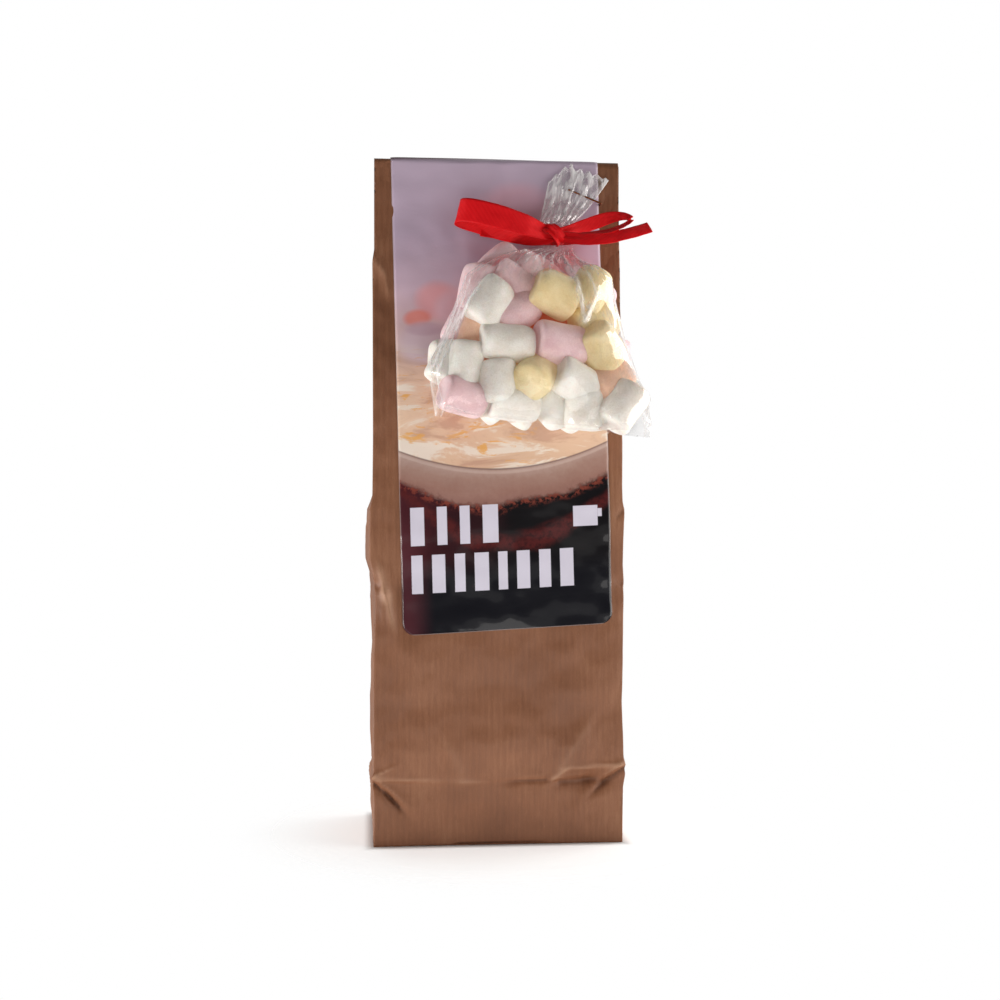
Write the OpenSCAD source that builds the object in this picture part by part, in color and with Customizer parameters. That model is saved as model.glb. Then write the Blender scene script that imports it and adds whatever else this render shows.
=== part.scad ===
// Hot chocolate mix in a block-bottom paper bag, with a label over its folded top
// and a small clear bag of marshmallows tied with ribbon and stapled on.
// The origin is the centre of the bag's base. +Z is up and the label faces -Y.

/* [Bag] */
// Width of the bag across its front
bag_width = 80; // [60:1:110]
// Depth of the bag's block bottom, front to back
bag_depth = 50; // [40:1:70]
// Height of the bag as it stands, with its top folded over
bag_height = 222; // [190:1:280]
// Length of the top that is folded down behind
flap_length = 28; // [20:1:34]
// Height up to which the contents fill the bag to its full depth
fill_height = 108; // [80:1:115]
// Thickness of the flattened bag above its contents
top_thickness = 1.4; // [1:0.1:2.5]
// Inner radius of the fold along the top
fold_radius = 0.3; // [0.2:0.1:1]
// How far the front leans back between the contents and the fold
front_lean = 7; // [0:1:15]
// How far the front and back panels swell at the middle
panel_swell = 1.3; // [0.5:0.1:3]
// How far the side panels swell where the bag is full
side_swell = 0.8; // [0.2:0.1:2]

/* [Label] */
// Width of the label
label_width = 67.2; // [40:0.1:68]
// Length of the label down the front, from the fold
label_front = 154; // [90:1:170]
// Length of the label down the back, from the fold
label_back = 46; // [38:1:60]
// Radius of the label's corners
label_corner = 4; // [2:0.5:8]
// Thickness of the label
label_thickness = 0.25; // [0.15:0.05:0.5]
// Gap that the glue fills between label and bag
label_gap = 0.2; // [0.1:0.05:0.4]
// Turn of the label on the bag, in degrees
label_turn = 1.3; // [0:0.1:2]

/* [Marshmallow bag] */
// Width of the marshmallow bag near its bottom
pouch_width = 68; // [50:1:80]
// Height of the marshmallow bag from its bottom seam to the ribbon
pouch_height = 60; // [48:1:75]
// Thickness of the filled marshmallow bag
pouch_depth = 27; // [16:1:36]
// Length of the gathered film above the ribbon
tail_length = 18.5; // [14:0.5:24]
// Width of the gathered neck that the ribbon holds
neck_width = 13; // [10:0.5:16]
// Thickness of the gathered neck
neck_depth = 5.6; // [4:0.2:8]
// Sideways place of the neck, from the bag's middle
neck_x = 21; // [14:1:24]

/* [Ribbon] */
// Width of the ribbon
ribbon_width = 8.6; // [6:0.2:10]
// Thickness of the ribbon
ribbon_thickness = 0.5; // [0.4:0.1:0.8]
// Reach of the left loop from the knot
left_loop = 32; // [20:1:38]
// Reach of the right loop from the knot
right_loop = 24; // [16:1:30]
// Reach of the right tail from the knot
right_tail = 32; // [20:1:38]
// Radius of the knot
knot_radius = 3.2; // [2.6:0.1:4]

/* [Staple] */
// Length of the staple's crown
staple_width = 12; // [8:0.5:14]
// Diameter of the staple's wire
wire = 0.6; // [0.5:0.05:0.8]
// Depth of the staple's middle below the fold
staple_drop = 12; // [10:0.5:15]
// Turn of the staple, right end down, in degrees
staple_turn = 22; // [0:1:30]
// Gap round each leg in its hole
leg_gap = 0.1; // [0.05:0.05:0.2]

/* [Hidden] */

across = 10;                // facets across each wide panel
side_facets = 6;            // facets across each side panel
fold_facets = 8;            // facets round the fold
ring_step = 8;              // height between the bag's rings
base_crown = 0.3;           // least swell, so that the base outline is never quite straight
layer_gap = 0.15;           // gap between film, label and wire where they lie on each other

half_width = bag_width / 2;
fold_outer = top_thickness + fold_radius;
fold_z = bag_height - fold_outer;                    // height at which the fold begins
press_gap = 2.3;                                     // from the flap's end down to where the bag is pressed
press_z = fold_z - flap_length - press_gap;          // height above which the bag is pressed flat
top_front = front_lean - bag_depth / 2;              // y of the front where the fold begins
fold_y = top_front + fold_outer;                     // y of the fold's axis
fold_quarter = PI * fold_outer / 2;                  // length of a quarter of the fold
ramp = 4;                                            // length over which the label steps off the flap
ramp_start = 1.2;                                    // how far past the flap's end the step begins

label_shift = -0.5;                                  // sideways place of the label's middle at the fold

neck_drop = 30;                                      // from the bag's top down to the ribbon's lower edge
neck_z = bag_height - neck_drop;
pouch_z = neck_z - pouch_height;
pouch_shift = 8;                                     // how far left of the neck the pouch's bottom hangs
pouch_x = neck_x - pouch_shift;
pouch_tilt = 3.4;                                    // fall of the bottom seam to the right, in degrees
tail_thickness = 1;
staple_shift = 7.6;                                  // how far right of the neck the staple goes in
knot_shift = 2.3;                                    // how far left of the neck the knot sits

function clamp(t) = max(0, min(1, t));
function ease(t) = let (c = clamp(t)) c * c * (3 - 2 * c);
function mix(a, b, t) = a + (b - a) * t;

// ---- the bag's surface ----
function depth_at(z) = mix(bag_depth, top_thickness, ease((z - fill_height) / (press_z - fill_height)));
function front_at(z) = front_lean * ease((z - fill_height) / (fold_z - fill_height)) - bag_depth / 2;
function swell_at(z) = z < press_z ? sin(180 * z / press_z) : 0;
function crown_at(x, z) =
    (base_crown * clamp((press_z - z) / 20) + panel_swell * swell_at(z)) * (1 - pow(x / half_width, 2));

// how far the middle of a side panel is pushed in as the bag closes above its contents
function pinch_at(z) = let (d = depth_at(z))
    sqrt(max(0, pow(bag_depth / 2, 2) - pow(d / 2, 2))) * clamp((d - 3) / 6) * 0.9;
function side_at(v, z) =
    (base_crown + side_swell * swell_at(min(z, fill_height))) * clamp((press_z - z) / 40) * (1 - v * v)
    - pinch_at(z) * (1 - abs(v));

// one closed ring: outer and inner are [y, z] pairs at its middle, z is the height for crown and sides
function ring(outer, inner, z) = concat(
    [for (i = [0 : across]) let (x = mix(-half_width, half_width, i / across))
        [x, outer[0] - crown_at(x, z), outer[1]]],
    [for (j = [1 : side_facets - 1]) let (v = 2 * j / side_facets - 1)
        [half_width + side_at(v, z), mix(outer[0], inner[0], (v + 1) / 2), mix(outer[1], inner[1], (v + 1) / 2)]],
    [for (i = [0 : across]) let (x = mix(half_width, -half_width, i / across))
        [x, inner[0] + crown_at(x, z), inner[1]]],
    [for (j = [1 : side_facets - 1]) let (v = 1 - 2 * j / side_facets)
        [-half_width - side_at(v, z), mix(outer[0], inner[0], (v + 1) / 2), mix(outer[1], inner[1], (v + 1) / 2)]]
);

function total(list, i = 0) = i < len(list) ? list[i] + total(list, i + 1) : 0;
function middle(points) = [for (k = [0 : 2]) total([for (p = points) p[k]]) / len(points)];

// faces of a closed skin over rings of n points each
function side_faces(rings, n) = [
    for (k = [0 : rings - 2]) for (i = [0 : n - 1])
        let (a = k * n + i, b = k * n + (i + 1) % n, c = a + n, d = b + n)
        each [[a, c, d], [a, d, b]]
];
function fan_caps(rings, n) = [
    for (i = [0 : n - 1]) let (j = (i + 1) % n, top = (rings - 1) * n)
        each [[rings * n, i, j], [rings * n + 1, top + j, top + i]]
];
function strip_caps(rings, n) = [
    for (i = [0 : n / 2 - 2]) let (top = (rings - 1) * n)
        each [
            [i, i + 1, n - 2 - i], [i, n - 2 - i, n - 1 - i],
            [top + i, top + n - 2 - i, top + i + 1], [top + i, top + n - 1 - i, top + n - 2 - i]
        ]
];

module skin_over(rings) {
    n = len(rings[0]);
    count = len(rings);
    polyhedron(
        points = concat([for (r = rings) each r], [middle(rings[0]), middle(rings[count - 1])]),
        faces = concat(side_faces(count, n), fan_caps(count, n)),
        convexity = 6
    );
}

// y of the label's front at its middle
function label_face(z) = front_at(z) - crown_at(0, z) - label_gap - label_thickness;

// ---- where the staple's legs go ----
staple_x = neck_x + staple_shift;
staple_z = bag_height - staple_drop;
crown_y = label_face(staple_z - staple_width / 4) - tail_thickness - 2 * layer_gap - wire / 2;
clinch_y = fold_y + fold_outer + label_gap + label_thickness + layer_gap + wire / 2;

module staple_place() {
    translate([staple_x, 0, staple_z]) rotate([0, staple_turn, 0]) children();
}

module leg_holes() {
    staple_place()
        for (side = [-1, 1])
            translate([side * (staple_width - wire) / 2, crown_y, 0])
                rotate([-90, 0, 0])
                    cylinder(h = clinch_y - crown_y, r = wire / 2 + leg_gap, $fn = 24);
}

module bag() {
    heights = concat(
        [0, 1.5, 5],
        [for (z = [12 : ring_step : fill_height - ring_step / 2]) z],
        [for (z = [fill_height : ring_step / 2 : press_z - 1]) z],
        [press_z, fold_z - 22, fold_z - 15, fold_z - 8, fold_z]
    );
    body = [for (z = heights) ring([front_at(z), z], [front_at(z) + depth_at(z), z], z)];
    fold = [
        for (i = [1 : fold_facets]) let (a = 180 * i / fold_facets)
            ring([fold_y - fold_outer * cos(a), fold_z + fold_outer * sin(a)],
                 [fold_y - fold_radius * cos(a), fold_z + fold_radius * sin(a)], fold_z)
    ];
    flap = [
        for (drop = [flap_length / 2, flap_length])
            ring([fold_y + fold_outer, fold_z - drop], [fold_y + fold_radius, fold_z - drop], fold_z)
    ];
    color("#8e654e")
        difference() {
            skin_over(concat(body, fold, flap));
            leg_holes();
        }
}

// ---- the label, laid over the bag's surface ----
function back_at(x, z) = let (
        flap_y = fold_y + fold_outer,
        flap_end = fold_z - flap_length,
        panel = front_at(z) + depth_at(z) + crown_at(x, z)
    ) mix(panel, max(flap_y, panel), clamp((z - flap_end + ramp_start + ramp) / ramp));

// the point at x across and s down from the fold, negative behind, lifted off the bag
function over_bag(x, s, lift) =
    s > fold_quarter ? let (z = fold_z + fold_quarter - s) [x, front_at(z) - crown_at(x, z) - lift, z] :
    s < -fold_quarter ? let (z = fold_z + fold_quarter + s) [x, back_at(x, z) + lift, z] :
    let (a = 90 * (1 - s / fold_quarter)) [x, fold_y - (fold_outer + lift) * cos(a), fold_z + (fold_outer + lift) * sin(a)];

function label_point(x, s, lift) = over_bag(
    x * cos(label_turn) + s * sin(label_turn) + label_shift,
    s * cos(label_turn) - x * sin(label_turn),
    lift
);

// half the label's width at a distance in from its end, with a round corner
function label_half(inset) = label_width / 2 - label_corner
    + sqrt(max(0, pow(label_corner, 2) - pow(max(0, label_corner - inset), 2)));

module label() {
    corner_rows = [0, 0.4, 1.2, 2.4];
    rows = concat(
        [for (c = corner_rows) label_front - c * label_corner / 4],
        [for (s = [label_front - label_corner : -ring_step : fold_quarter + 4]) s],
        [for (i = [-fold_facets : fold_facets]) -i * fold_quarter * 1.5 / fold_facets],
        [for (s = [fold_quarter + 6 : 5 : fold_quarter + flap_length]) -s],
        [for (s = [1 : 1 : 7]) -s - fold_quarter - flap_length],
        [for (s = [fold_quarter + flap_length + 9 : 3 : label_back - label_corner - 1]) -s],
        [for (i = [3 : -1 : 0]) corner_rows[i] * label_corner / 4 - label_back]
    );
    strips = [
        for (s = rows) let (half = label_half(min(label_front - s, label_back + s))) concat(
            [for (i = [0 : across]) label_point(mix(-half, half, i / across), s, label_gap + label_thickness)],
            [for (i = [0 : across]) label_point(mix(half, -half, i / across), s, label_gap)]
        )
    ];
    n = len(strips[0]);
    color("#a8929a")
        difference() {
            polyhedron(
                points = [for (r = strips) each r],
                faces = concat(side_faces(len(strips), n), strip_caps(len(strips), n)),
                convexity = 6
            );
            leg_holes();
        }
}

// ---- the marshmallow bag: a full body, a gathered neck and a flat tail under the staple ----
// share of the height below the neck -> left edge, right edge and half thickness, as shares of its sizes
body_left = [[0, 0.44], [0.05, 0.5], [0.12, 0.52], [0.25, 0.52], [0.4, 0.47], [0.55, 0.43], [0.7, 0.385],
             [0.82, 0.33], [0.91, 0.1], [0.96, -0.02], [1, -0.02]];
body_right = [[0, 0.44], [0.05, 0.48], [0.15, 0.51], [0.25, 0.48], [0.4, 0.445], [0.55, 0.415], [0.7, 0.375],
              [0.82, 0.33], [0.91, 0.27], [0.96, 0.216], [1, 0.216]];
body_thick = [[0, 0.05], [0.05, 0.6], [0.12, 0.82], [0.25, 0.97], [0.45, 1], [0.65, 0.9], [0.8, 0.7],
              [0.9, 0.44], [0.96, 0.207], [1, 0.207]];
// share of the tail's length -> left and right edge from the neck's middle, as shares of the tail's length
tail_left = [[0, -0.35], [0.35, -0.3], [0.75, -0.15], [0.92, 0.05], [1, 0.3]];
tail_right = [[0, 0.35], [0.3, 0.75], [0.7, 0.97], [0.85, 0.9], [1, 0.5]];

neck_gap = ribbon_thickness + 2 * layer_gap + label_gap;     // room for the ribbon behind the neck
neck_y = label_face(neck_z) - neck_gap - neck_depth / 2;

// one ring of the pouch: an oval between two edges, with the seam's fall to the right
function oval(left, right, half, y, z, fall, square = 0.8, n = 28) =
    let (mid = (left + right) / 2, wide = (right - left) / 2)
    [for (i = [0 : n - 1]) let (
            a = 360 * i / n,
            x = mid + wide * sign(cos(a)) * pow(abs(cos(a)), square),
            dy = half * sign(sin(a)) * pow(abs(sin(a)), square)
        ) [x, y + dy, z - (x - pouch_x) * tan(pouch_tilt) * fall]];

module marshmallow_bag() {
    body = [
        for (t = [0, 0.03, 0.07, 0.12, 0.18, 0.25, 0.33, 0.41, 0.49, 0.57, 0.65, 0.72, 0.78, 0.83, 0.87, 0.91, 0.94])
            let (z = pouch_z + t * pouch_height, half = lookup(t, body_thick) * pouch_depth / 2,
                 x = mix(pouch_x, neck_x, ease((t - 0.75) / 0.2)))
            oval(pouch_x - lookup(t, body_left) * pouch_width, pouch_x + lookup(t, body_right) * pouch_width,
                 half, label_face(z) - mix(2 * layer_gap, neck_gap, ease((t - 0.6) / 0.3)) - half, z,
                 1 - ease(t / 0.9))
    ];
    neck = [
        for (lift = [-1, ribbon_width + 0.4])
            oval(neck_x - neck_width / 2, neck_x + neck_width / 2, neck_depth / 2, neck_y, neck_z + lift, 0, 1)
    ];
    tail = [
        for (t = [0.15, 0.3, 0.42, 0.55, 0.7, 0.85, 0.93, 1])
            let (z = neck_z + ribbon_width + 0.4 + t * tail_length,
                 half = mix(neck_depth, tail_thickness, ease(t / 0.35)) / 2)
            oval(neck_x + lookup(t, tail_left) * tail_length, neck_x + lookup(t, tail_right) * tail_length, half,
                 mix(neck_y, label_face(z) - layer_gap - tail_thickness / 2, ease(t / 0.35)),
                 z, 0)
    ];
    color("#f2e6e0", 0.8)
        difference() {
            skin_over(concat(body, neck, tail));
            leg_holes();
        }
}

// ---- the ribbon: flat bands stood on edge, each following a line seen from above ----
knot_x = neck_x - knot_shift;
knot_y = neck_y - neck_depth / 2 - knot_radius - 0.05;
knot_z = neck_z + ribbon_width / 2;

left_swing = 4;                                      // how far each loop and tail swings out from its middle line
right_swing = 3.2;
tail_swing = 5;
hidden_swing = -0.8;
loop_share = 0.75;                                   // widths of the folded right loop and of the tails,
tail_share = 0.7;                                    // as shares of the ribbon's
hidden_reach = 0.55;                                 // the hidden tail's reach as a share of the right tail's
loop_tilt = 12;                                      // rise of the loops away from the knot, in degrees

// a closed lobe that leaves the knot, swings out to its reach and comes back
function lobe(reach, swing, n = 28) =
    [for (i = [0 : n]) let (t = mix(0.012, 0.988, i / n)) [reach * sin(180 * t), -swing * sin(360 * t)]];
// a tail that leaves the knot and bows out to one side
function bowed(reach, swing, n = 12) = [for (i = [0 : n]) let (t = i / n) [reach * t, -swing * sin(150 * t)]];

function side_step(line, i, off) = let (
        a = line[max(0, i - 1)], b = line[min(len(line) - 1, i + 1)], d = (b - a) / norm(b - a)
    ) line[i] + off * [-d[1], d[0]];

module band(line, width) {
    linear_extrude(height = width, center = true)
        polygon(concat(
            [for (i = [0 : len(line) - 1]) side_step(line, i, ribbon_thickness / 2)],
            [for (i = [len(line) - 1 : -1 : 0]) side_step(line, i, -ribbon_thickness / 2)]
        ));
}

module wrap() {
    function edge(a, b) = [for (i = [0 : 47]) [a * cos(7.5 * i), b * sin(7.5 * i)]];
    inner = [neck_width / 2 + layer_gap, neck_depth / 2 + layer_gap];
    linear_extrude(height = ribbon_width)
        difference() {
            polygon(edge(inner[0] + ribbon_thickness, inner[1] + ribbon_thickness));
            polygon(edge(inner[0], inner[1]));
        }
}

module ribbon() {
    knot_half = ribbon_width * 0.47;
    color("#d91f2a") {
        translate([neck_x, neck_y, neck_z]) wrap();
        translate([knot_x, knot_y, knot_z])
            rotate_extrude($fn = 32)
                polygon([[0, -knot_half], [knot_radius * 0.7, -knot_half], [knot_radius, -knot_half * 0.6],
                         [knot_radius, knot_half * 0.6], [knot_radius * 0.7, knot_half], [0, knot_half]]);
        translate([knot_x, knot_y, knot_z]) {
            rotate([0, loop_tilt, 0]) mirror([1, 0, 0]) band(lobe(left_loop, left_swing), ribbon_width);
            rotate([0, -loop_tilt, 0]) band(lobe(right_loop, right_swing), ribbon_width * loop_share);
            rotate([0, -loop_tilt / 2, 0])
                translate([0, 0, -1])
                    band(bowed(right_tail, tail_swing), ribbon_width * tail_share);
        }
        // the short tail that hangs behind the left loop
        translate([neck_x - neck_width / 2 - ribbon_thickness, neck_y, knot_z])
            rotate([0, loop_tilt / 3, 0])
                mirror([1, 0, 0])
                    band(bowed(right_tail * hidden_reach, hidden_swing), ribbon_width * tail_share);
    }
}

module staple() {
    reach = (staple_width - wire) / 2;
    length = clinch_y - crown_y;
    clinch = 3.4;
    module along_x(from, to, y) {
        translate([from, y, 0]) rotate([0, 90, 0]) cylinder(h = to - from, d = wire, $fn = 24);
    }
    color("#7a4a33")
        staple_place() {
            along_x(-reach, reach, crown_y);
            along_x(-reach, clinch - reach, clinch_y);
            along_x(reach - clinch, reach, clinch_y);
            for (side = [-1, 1]) {
                translate([side * reach, crown_y, 0]) rotate([-90, 0, 0]) cylinder(h = length, d = wire, $fn = 24);
                for (y = [crown_y, clinch_y]) translate([side * reach, y, 0]) sphere(d = wire, $fn = 24);
            }
        }
}

bag();
label();
marshmallow_bag();
ribbon();
staple();
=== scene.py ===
import math
import random

import bmesh
import bpy
import numpy as np
from mathutils import Matrix, Vector, noise
from mathutils.bvhtree import BVHTree


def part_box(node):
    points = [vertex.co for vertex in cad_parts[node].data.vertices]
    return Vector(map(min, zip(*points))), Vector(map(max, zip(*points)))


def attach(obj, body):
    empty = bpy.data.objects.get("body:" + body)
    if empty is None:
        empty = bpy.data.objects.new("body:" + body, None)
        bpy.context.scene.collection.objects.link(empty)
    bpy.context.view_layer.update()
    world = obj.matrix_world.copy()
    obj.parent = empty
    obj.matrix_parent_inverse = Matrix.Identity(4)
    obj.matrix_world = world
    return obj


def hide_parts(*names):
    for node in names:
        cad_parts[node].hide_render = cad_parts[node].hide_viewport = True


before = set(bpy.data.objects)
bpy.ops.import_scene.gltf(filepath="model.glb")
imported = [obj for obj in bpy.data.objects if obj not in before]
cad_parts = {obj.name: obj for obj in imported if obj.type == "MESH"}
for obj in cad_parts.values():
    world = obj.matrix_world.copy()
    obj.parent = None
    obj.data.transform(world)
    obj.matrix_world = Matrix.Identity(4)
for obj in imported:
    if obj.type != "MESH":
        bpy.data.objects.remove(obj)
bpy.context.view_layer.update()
scene = bpy.context.scene
mm = 0.001


# small maths

def clamp(value, low=0.0, high=1.0):
    return max(low, min(high, value))


def ease(value):
    t = clamp(value)
    return t * t * (3 - 2 * t)


def mix(a, b, t):
    return a + (b - a) * t


def bell(distance, width):
    return math.exp(-(distance / width) ** 2)


def between(value, table):  # straight lines through a short table of (place, value)
    if value <= table[0][0]:
        return table[0][1]
    for (a, va), (b, vb) in zip(table, table[1:]):
        if value <= b:
            return mix(va, vb, (value - a) / (b - a))
    return table[-1][1]


def rough(x, y, z, scale, octaves=3):
    return noise.fractal(Vector((x, y, z)) / scale, 0.6, 2.1, octaves, noise_basis="PERLIN_ORIGINAL")


def linear(*rgb):  # a colour from 0 to 255, as the shader wants it
    return [((c / 255 + 0.055) / 1.055) ** 2.4 if c > 10 else c / 255 / 12.92 for c in rgb] + [1]


# materials: Wire holds a socket and does sums, Paint makes nodes

class Wire:
    def __init__(self, paint, socket):
        self.paint = paint
        self.socket = socket

    def sum(self, operation, a, b=0.0):
        return self.paint.add("ShaderNodeMath", {"operation": operation}, {0: a, 1: b})

    def __add__(self, other):
        return self.sum("ADD", self, other)

    __radd__ = __add__

    def __mul__(self, other):
        return self.sum("MULTIPLY", self, other)

    __rmul__ = __mul__

    def __sub__(self, other):
        return self.sum("SUBTRACT", self, other)

    def __rsub__(self, other):
        return self.sum("SUBTRACT", other, self)

    def __truediv__(self, other):
        return self.sum("DIVIDE", self, other)

    def __pow__(self, other):
        return self.sum("POWER", self, other)

    def __abs__(self):
        return self.sum("ABSOLUTE", self)

    def waves(self, pitch):
        return self.sum("SINE", self * (2 * math.pi / pitch))

    def least(self, other):
        return self.sum("MINIMUM", self, other)

    def most(self, other):
        return self.sum("MAXIMUM", self, other)

    def step(self, low, high):  # 0 at low, 1 at high, smooth between
        values = {"Value": self, "From Min": low, "From Max": high}
        return self.paint.add("ShaderNodeMapRange", {"interpolation_type": "SMOOTHSTEP"}, values)


class Paint:
    def __init__(self, name, world=None):
        self.material = world or bpy.data.materials.new(name)
        self.material.use_nodes = True
        self.tree = self.material.node_tree
        self.shader = self.tree.nodes.get("Principled BSDF")

    def add(self, kind, settings, values, output=0):
        node = self.tree.nodes.new(kind)
        for key, value in settings.items():
            if key == "stops":
                self.fillRamp(node.color_ramp, value)
            else:
                setattr(node, key, value)
        for key, value in values.items():
            self.plug(node.inputs[key], value)
        return Wire(self, node.outputs[output])

    def fillRamp(self, ramp, stops):
        while len(ramp.elements) < len(stops):
            ramp.elements.new(0.5)
        for element, (place, colour) in zip(ramp.elements, stops):
            element.position = place
            element.color = colour

    def plug(self, socket, value):
        if isinstance(value, Wire):
            self.tree.links.new(value.socket, socket)
        else:
            socket.default_value = value

    def place(self):
        return self.add("ShaderNodeTexCoord", {}, {}, "Object")

    def layout(self):
        return self.add("ShaderNodeUVMap", {"uv_map": "layout"}, {})

    def axes(self, vector):
        made = self.add("ShaderNodeSeparateXYZ", {}, {0: vector})
        node = made.socket.node
        return [Wire(self, node.outputs[k]) for k in range(3)]

    def grain(self, vector, scale, detail=3.0, roughness=0.5, distortion=0.0):
        values = {
            "Vector": vector, "Scale": scale, "Detail": detail, "Roughness": roughness,
            "Distortion": distortion}
        return self.add("ShaderNodeTexNoise", {}, values)

    def drawn(self, vector, scales, *rest):  # grain with a scale of its own each way
        return self.grain(self.add("ShaderNodeMapping", {}, {"Vector": vector, "Scale": scales}), 1.0, *rest)

    def blend(self, factor, a, b):
        return self.add("ShaderNodeMix", {"data_type": "RGBA"}, {0: factor, 6: a, 7: b}, 2)

    def ramp(self, factor, stops):
        return self.add("ShaderNodeValToRGB", {"stops": stops}, {0: factor})

    def bump(self, height, strength, distance):
        return self.add("ShaderNodeBump", {}, {"Height": height, "Strength": strength, "Distance": distance})

    def finish(self, **sockets):
        for name, value in sockets.items():
            self.plug(self.shader.inputs[name.replace("_", " ")], value)
        return self.material


# pieces are modelled in millimetres and turned into metres at the end

def linked(name, data):
    item = bpy.data.objects.new(name, data)
    scene.collection.objects.link(item)
    return item


def meshOf(bm, name):
    mesh = bpy.data.meshes.new(name)
    bm.to_mesh(mesh)
    bm.free()
    return mesh


def makePiece(bm, name, material, replaced=None):
    bmesh.ops.scale(bm, vec=(mm, mm, mm), verts=bm.verts)
    mesh = meshOf(bm, name)
    for face in mesh.polygons:
        face.use_smooth = True
    piece = linked(name, mesh)
    mesh.materials.append(material)
    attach(piece, "root")
    if replaced:
        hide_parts(replaced)
    print(name, "made", len(mesh.polygons))
    return piece


def addWall(bm, thickness):
    bm.normal_update()
    bmesh.ops.solidify(bm, geom=bm.faces[:], thickness=thickness)
    bmesh.ops.recalc_face_normals(bm, faces=bm.faces)


def grid(bm, wide, tall):
    return bmesh.ops.create_grid(bm, x_segments=wide, y_segments=tall, size=0.5)["verts"]


def gridSpot(vert, wide, tall):  # the column and row of a grid's vertex that hasn't been moved yet
    return round((vert.co.x + 0.5) * wide), round((vert.co.y + 0.5) * tall)


# camera, floor and light

studio = dict(
    eye=(-0.0414, -0.4983, 0.1109), lens=53.15, turn=5.04,
    skyBelow=0.36, skyFront=0.1, skyBehind=0.55,
    # the floor glows evenly except round the pack's footprint, where a painted contact shadow is cut out
    floor=1.2, foot=(0.0405, 0.0262), contactShadowEdge=(-0.0006, 0.0035), fade=(0.042, 0.09), glow=0.5,
    lamps=(  # name, place, aim, size, power, colour
        ("right", (0.72, -0.16, 0.12), (0, 0, 0.1), (0.7, 0.7), 6.4, (1, 0.97, 0.93)),
        ("left", (-0.42, -0.1, 0.0), (0, 0, 0.04), (0.25, 0.15), 1.7, (1, 0.98, 0.96)),
        ("rightEdge", (0.45, 0.2, 0.16), (0, 0, 0.16), (0.25, 0.4), 1.2, (1, 1, 1)),
        ("low", (0.04, -0.42, -0.12), (0, 0, 0.03), (0.5, 0.25), 0.8, (1, 0.97, 0.94)),
    ),
)


def aimed(item, start, end):
    item.location = start
    item.rotation_mode = "QUATERNION"
    item.rotation_quaternion = (Vector(end) - Vector(start)).to_track_quat("-Z", "Y")


def makeSky():  # white to the camera; to all else bright behind and below, dim in front
    scene.world = bpy.data.worlds.new("studio")
    shape = Paint("studio", scene.world)
    direction = shape.add("ShaderNodeTexCoord", {}, {}, "Generated")
    _, y, z = shape.axes(direction)
    below = 1 - z.step(-0.055, -0.03)
    behind = y.step(-0.15, 0.35)
    level = below * studio["skyBelow"] + studio["skyFront"] + behind * (1 - below) * studio["skyBehind"]
    lit = shape.add("ShaderNodeBackground", {}, {"Color": (1, 0.985, 0.97, 1), "Strength": level})
    seen = shape.add("ShaderNodeBackground", {}, {"Color": (1, 1, 1, 1), "Strength": 1.0})
    camera = shape.add("ShaderNodeLightPath", {}, {}, "Is Camera Ray")
    both = shape.add("ShaderNodeMixShader", {}, {0: camera, 1: lit, 2: seen})
    shape.plug(shape.tree.nodes["World Output"].inputs["Surface"], both)


def makeStudio():
    cameraData = bpy.data.cameras.new("camera")
    cameraData.lens = studio["lens"]
    cameraData.sensor_width = 36
    cameraData.clip_start = 0.01
    camera = linked("camera", cameraData)
    turn = math.radians(studio["turn"])
    eye = Vector(studio["eye"])
    aimed(camera, eye, eye + Vector((math.sin(turn), math.cos(turn), 0)))
    scene.camera = camera

    bm = bmesh.new()
    bmesh.ops.create_grid(bm, x_segments=4, y_segments=4, size=studio["floor"])
    floor = linked("floor", meshOf(bm, "floor"))
    paint = Paint("paleFloor")
    x, y, _ = paint.axes(paint.place())
    away = (x * x + y * y) ** 0.5
    footX, footY = studio["foot"]
    paintedContactShadow = (abs(x) - footX).most(abs(y) - footY).step(*studio["contactShadowEdge"])  # painted contact shadow: the floor's glow fades out round the pack's base
    glow = paint.blend(paintedContactShadow, (0, 0, 0, 1), (1, 1, 1, 1))
    paint.finish(
        Base_Color=linear(248, 249, 249), Roughness=0.8, Alpha=1 - away.step(*studio["fade"]),
        Emission_Color=glow, Emission_Strength=studio["glow"])
    floor.data.materials.append(paint.material)

    for name, start, end, size, power, colour in studio["lamps"]:
        lampData = bpy.data.lights.new(name, "AREA")
        lampData.shape = "RECTANGLE"
        lampData.size, lampData.size_y = size
        lampData.energy = power
        lampData.color = colour
        aimed(linked(name, lampData), start, end)
    makeSky()
    scene.view_settings.view_transform = "Standard"
    print("studio made")


# the bag's surface, in millimetres

bag = dict(
    width=80.0, depth=50.0, height=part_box("bag")[1].z / mm, flap=28.0, fill=108.0, topThickness=1.4,
    foldRadius=0.3, lean=7.0, swell=1.3, sideSwell=0.8, pinch=0.93, pressGap=2.3, ribPitch=2.0,
)
halfWidth = bag["width"] / 2
halfDepth = bag["depth"] / 2
girth = 2 * (bag["width"] + bag["depth"])
# on the way round from the back's middle: each panel's middle, its end and its columns of faces
middles = (0, halfWidth + halfDepth, girth / 2, girth - halfWidth - halfDepth, girth)
corners = (halfWidth, halfWidth + bag["depth"], girth / 2 + halfWidth, girth - halfWidth, girth)
panelColumns = (30, 42, 96, 42, 30)
foldOuter = bag["topThickness"] + bag["foldRadius"]
foldZ = bag["height"] - foldOuter
pressZ = foldZ - bag["flap"] - bag["pressGap"]
foldY = bag["lean"] - halfDepth + foldOuter
foldQuarter = math.pi * foldOuter / 2

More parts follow.
